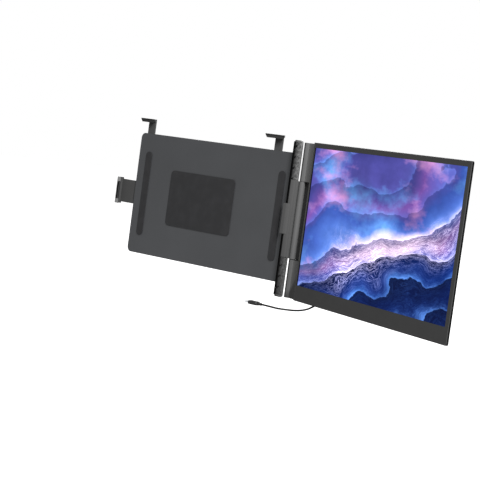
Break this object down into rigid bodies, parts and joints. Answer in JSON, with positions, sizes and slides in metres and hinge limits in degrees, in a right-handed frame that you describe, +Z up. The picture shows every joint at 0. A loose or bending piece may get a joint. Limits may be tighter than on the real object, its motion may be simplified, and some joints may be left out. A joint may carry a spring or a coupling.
{
  "type": "clip-on portable monitor",
  "caption": "Clip-on monitor: a bracket with sliding clamps grips a laptop lid, and a display panel swings beside it on an upright hinge, with a short cable.",
  "frame": {"origin": "centre of the middle rest pad's front face, where the lid's back lies", "axes": "+X along the lid towards the panel, +Z up the lid, the user on the -Y side"},
  "size_m": [0.7196, 0.1418, 0.2395],
  "materials": {
    "column_plastic": "fine satin grain, charcoal grey",
    "wing_plastic": "fine satin grain, charcoal grey",
    "bezel_plastic": "matt, near black",
    "cover_plastic": "fine matt grain, dark grey",
    "slide_plastic": "satin, charcoal grey",
    "plate_aluminium": "dark anodised, fine blasted",
    "stand_aluminium": "dark anodised, fine blasted",
    "pad_silicone": "soft, matt black",
    "foam": "closed-cell foam, black",
    "steel": "bright, turned",
    "glass": "lit picture under a matt film",
    "film": "white diffusing film",
    "guide": "clear acrylic",
    "lamp": "white lamp strip",
    "tray": "bare sheet",
    "board": "green solder resist with black chips",
    "ribbon": "amber film",
    "speaker": "black",
    "button": "satin",
    "cord": "smooth, black",
    "plug": "satin, dark grey"
  },
  "bodies": {
    "bracket": {"bracket_rear_cover": "cover_plastic", "bracket_front_plate": "plate_aluminium", "middle_rest_pad": "pad_silicone", "side_rest_pads": "pad_silicone", "hinge_column": "column_plastic", "right_clip_pad": "pad_silicone", "side_cushion": "foam", "hinge_shaft_upper": "steel", "hinge_shaft_lower": "steel", "kickstand_pin": "steel"},
    "left_clamp": {"left_clamp_arm": "slide_plastic", "left_clamp_pad": "pad_silicone"},
    "hook_left": {"top_hook_left": "slide_plastic", "top_hook_left_pad": "pad_silicone"},
    "hook_right": {"top_hook_right": "slide_plastic", "top_hook_right_pad": "pad_silicone"},
    "kickstand": {"kickstand": "stand_aluminium", "kickstand_foot": "pad_silicone"},
    "panel": {"front_bezel": "bezel_plastic", "rear_shell": "cover_plastic", "hinge_wing_upper": "wing_plastic", "hinge_wing_lower": "wing_plastic", "hinge_cap_upper": "wing_plastic", "hinge_cap_lower": "wing_plastic", "hinge_leaf_upper": "steel", "hinge_leaf_lower": "steel", "lcd_glass": "glass", "optical_films": "film", "light_guide": "guide", "led_bar": "lamp", "backlight_tray": "tray", "driver_board": "board", "display_ribbon": "ribbon", "usb_c_socket_display": "steel", "usb_c_socket_power": "steel", "mini_video_socket": "steel", "speaker_left": "speaker", "speaker_right": "speaker", "button_board": "board", "cable": "cord", "panel_plug_grip": "plug", "panel_plug_shell": "steel", "far_plug_grip": "plug", "far_plug_shell": "steel"},
    "power_button": {"power_button": "button"},
    "up_button": {"up_button": "button"},
    "down_button": {"down_button": "button"}
  },
  "joints": [
    {"name": "panel_hinge", "type": "hinge", "parent": "bracket", "child": "panel", "pos_m": [0.1971, -0.008, 0], "axis": [0, 0, 1], "range_deg": [-160, 65]},
    {"name": "left_clamp_slide", "type": "slide", "parent": "bracket", "child": "left_clamp", "axis": [-1, 0, 0], "range_m": [-0.03, 0.045]},
    {"name": "hook_left_slide", "type": "slide", "parent": "bracket", "child": "hook_left", "axis": [0, 0, 1], "range_m": [-0.015, 0.025]},
    {"name": "hook_right_slide", "type": "slide", "parent": "bracket", "child": "hook_right", "axis": [0, 0, 1], "range_m": [-0.015, 0.025]},
    {"name": "kickstand_hinge", "type": "hinge", "parent": "bracket", "child": "kickstand", "pos_m": [0.0182, 0.0098, 0.032], "axis": [1, 0, 0], "range_deg": [0, 70]},
    {"name": "power_button_press", "type": "slide", "parent": "panel", "child": "power_button", "axis": [-0.9423, 0.3346, 0], "range_m": [0, 0.0006], "stiffness_N_per_m": 900, "springref_m": -0.0006},
    {"name": "up_button_press", "type": "slide", "parent": "panel", "child": "up_button", "axis": [-0.9423, 0.3346, 0], "range_m": [0, 0.0006], "stiffness_N_per_m": 900, "springref_m": -0.0006},
    {"name": "down_button_press", "type": "slide", "parent": "panel", "child": "down_button", "axis": [-0.9423, 0.3346, 0], "range_m": [0, 0.0006], "stiffness_N_per_m": 900, "springref_m": -0.0006}
  ]
}
